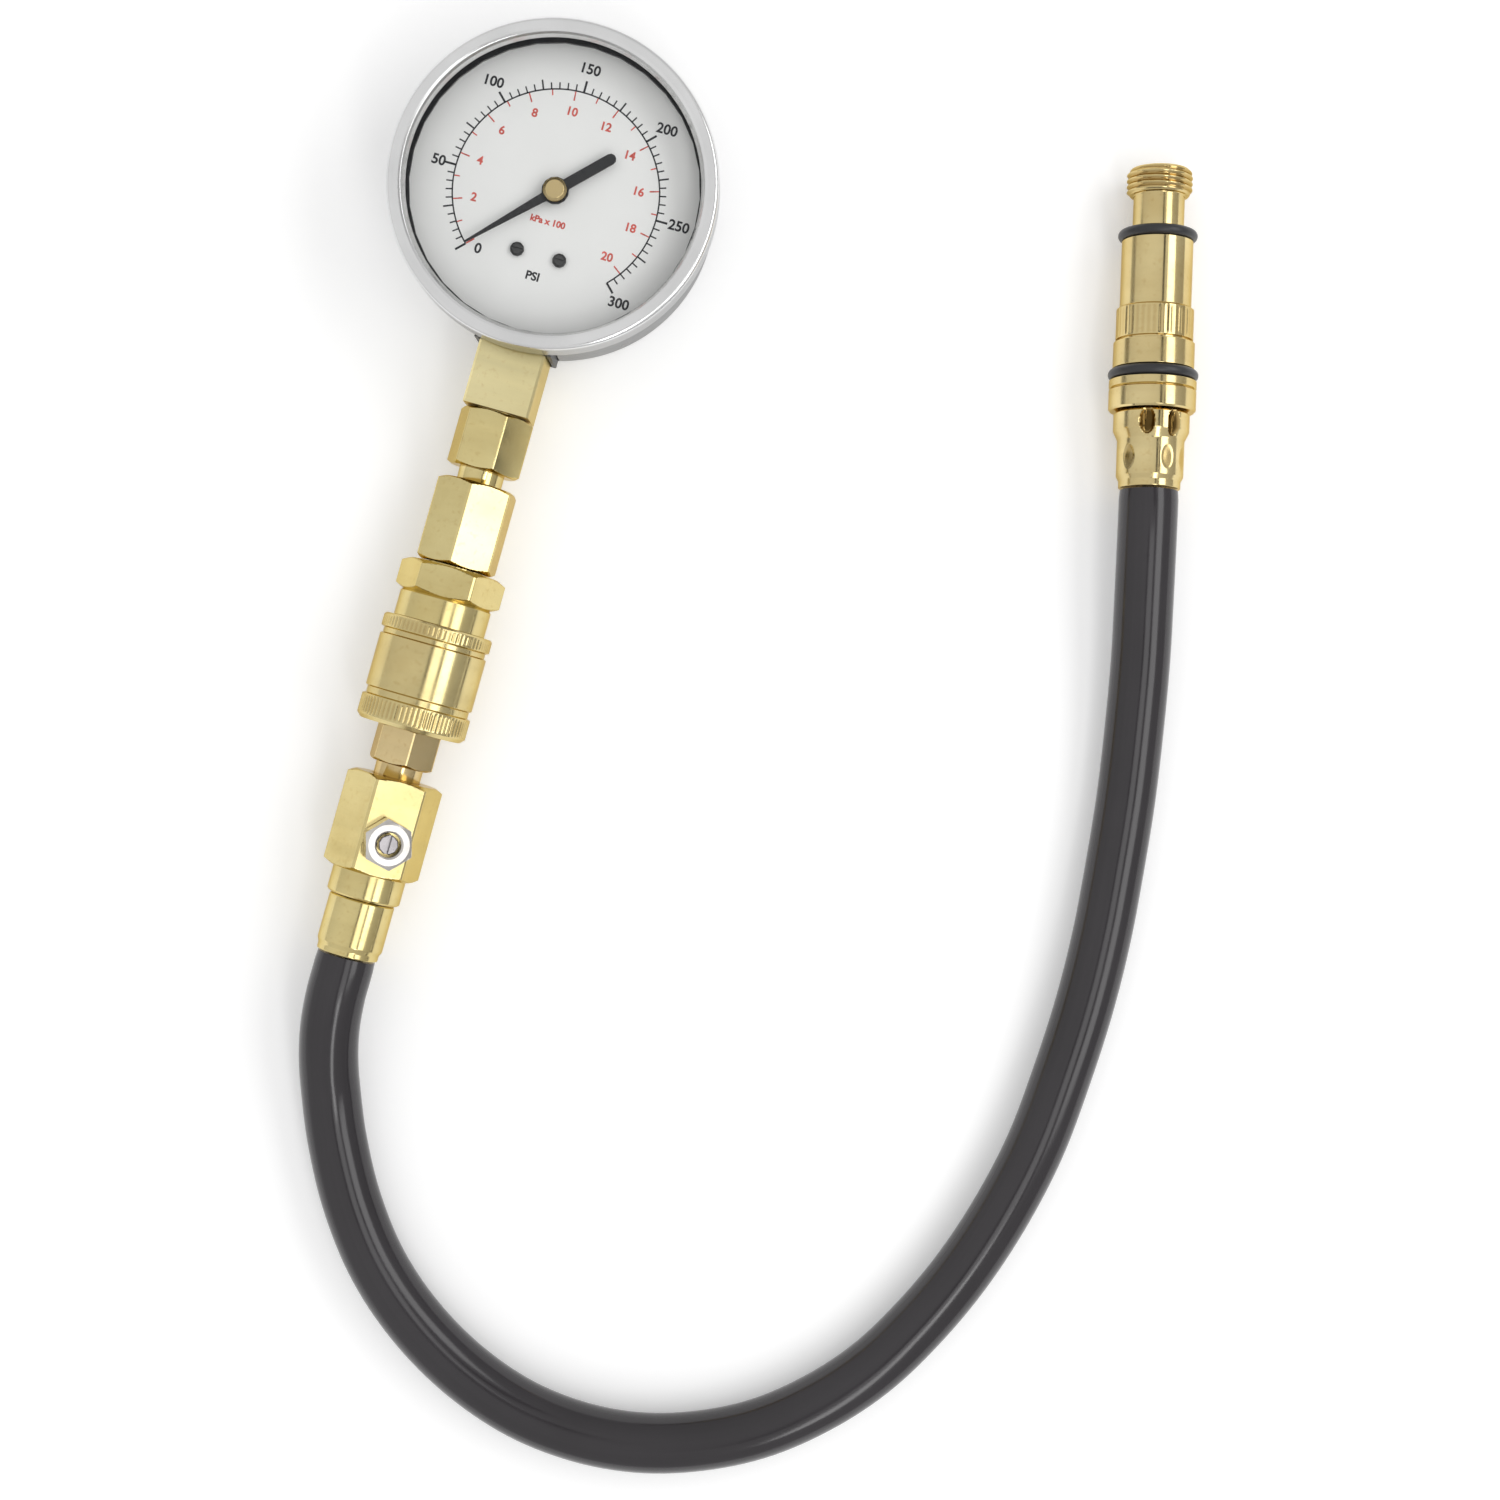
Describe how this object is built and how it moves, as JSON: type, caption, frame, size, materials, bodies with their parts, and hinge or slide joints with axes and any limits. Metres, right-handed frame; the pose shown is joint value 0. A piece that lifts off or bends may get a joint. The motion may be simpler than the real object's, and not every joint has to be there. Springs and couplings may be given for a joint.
{
  "type": "compression tester gauge",
  "caption": "Dial gauge on a brass stem with a quick coupler, a side release valve, and a curved rubber hose that ends in a threaded spark plug port fitting.",
  "frame": {"origin": "centre of the flat back of the gauge case, which lies on the table", "axes": "+Z out of the dial, +Y to twelve o'clock on the dial, so the brass stack leaves along -Y"},
  "size_m": [0.1958, 0.3023, 0.028],
  "materials": {
    "brass": "turned and milled, bright, a little tarnished",
    "stainless_steel": "bright spun sheet",
    "small_steel": "plain turned",
    "spring_steel": "drawn wire and strip",
    "dark_steel": "blackened",
    "nickel_plate": "nickel plated",
    "rubber": "black, semi-matt",
    "hose_rubber": "smooth black, slightly glossy",
    "clear_glass": "clear and polished",
    "dial_paint": "white enamel with printed scale",
    "pointer_paint": "matt black"
  },
  "bodies": {
    "gauge": {"bezel_ring": "stainless_steel", "bourdon_tube": "brass", "case": "stainless_steel", "case_screw_1": "stainless_steel", "case_screw_2": "stainless_steel", "coupler_body": "brass", "coupler_seal": "rubber", "dial_plate": "dial_paint", "dial_screw_left": "dark_steel", "dial_screw_right": "dark_steel", "lens": "clear_glass", "lens_gasket": "rubber", "lock_ball_1": "small_steel", "lock_ball_2": "small_steel", "lock_ball_3": "small_steel", "lock_ball_4": "small_steel", "long_hex_adapter": "brass", "movement_back_plate": "brass", "movement_front_plate": "brass", "movement_pillar_1": "brass", "movement_pillar_2": "brass", "movement_pillar_3": "brass", "movement_screw_1": "small_steel", "movement_screw_2": "small_steel", "movement_screw_3": "small_steel", "sleeve_retaining_ring": "small_steel", "sleeve_spring": "spring_steel", "socket_screw_1": "small_steel", "socket_screw_2": "small_steel", "stem_adapter": "brass", "stem_grommet": "rubber", "stem_socket": "brass", "tube_tip": "brass"},
    "pointer_group": {"pointer": "pointer_paint", "pointer_hub": "brass", "pinion": "brass", "hairspring": "spring_steel"},
    "sector_group": {"sector_gear": "brass", "sector_staff": "small_steel", "link_pin": "small_steel"},
    "link_group": {"link": "small_steel", "tip_pin": "small_steel"},
    "sleeve_group": {"coupler_sleeve": "brass"},
    "hose_side": {"coupler_plug": "brass", "valve_body": "brass", "release_valve_body": "nickel_plate", "release_seal": "rubber", "release_spring": "spring_steel", "near_ferrule": "brass", "hose": "hose_rubber", "far_ferrule": "brass", "port_fitting": "brass", "upper_seal_ring": "rubber", "lower_seal_ring": "rubber", "valve_core_body": "brass", "core_spring": "spring_steel"},
    "button_group": {"release_button": "nickel_plate"},
    "core_group": {"core_pin": "small_steel"}
  },
  "joints": [
    {"name": "sector_hinge", "type": "hinge", "parent": "gauge", "child": "sector_group", "pos_m": [0, -0.018, 0.0112], "axis": [0, 0, 1], "range_deg": [0, 33.75], "stiffness_Nm_per_rad": 0.01},
    {"name": "pointer_hinge", "type": "hinge", "parent": "gauge", "child": "pointer_group", "pos_m": [0, 0, 0.021], "axis": [0, 0, 1], "range_deg": [-270, 0]},
    {"name": "link_hinge", "type": "hinge", "parent": "sector_group", "child": "link_group", "pos_m": [0.00752, -0.02074, 0.0124], "axis": [0, 0, 1], "range_deg": [-33.75, 0]},
    {"name": "sleeve_slide", "type": "slide", "parent": "gauge", "child": "sleeve_group", "axis": [0, 1, 0], "range_m": [0, 0.005], "stiffness_N_per_m": 400, "springref_m": -0.002, "deforming": ["sleeve_spring"]},
    {"name": "hose_swivel", "type": "hinge", "parent": "gauge", "child": "hose_side", "pos_m": [0, -0.108, 0.0121], "axis": [0, -1, 0], "continuous": true},
    {"name": "release_button_slide", "type": "slide", "parent": "hose_side", "child": "button_group", "axis": [-0.2924, 0, -0.9563], "range_m": [0, 0.001], "stiffness_N_per_m": 500, "deforming": ["release_spring"]},
    {"name": "core_pin_slide", "type": "slide", "parent": "hose_side", "child": "core_group", "axis": [0.2299, -0.9725, 0.0383], "range_m": [0, 0.001], "stiffness_N_per_m": 300, "deforming": ["core_spring"]}
  ],
  "couplings": [
    {"joint": "pointer_hinge", "follows": "sector_hinge", "ratio": -8},
    {"joint": "link_hinge", "follows": "sector_hinge", "ratio": -1}
  ]
}
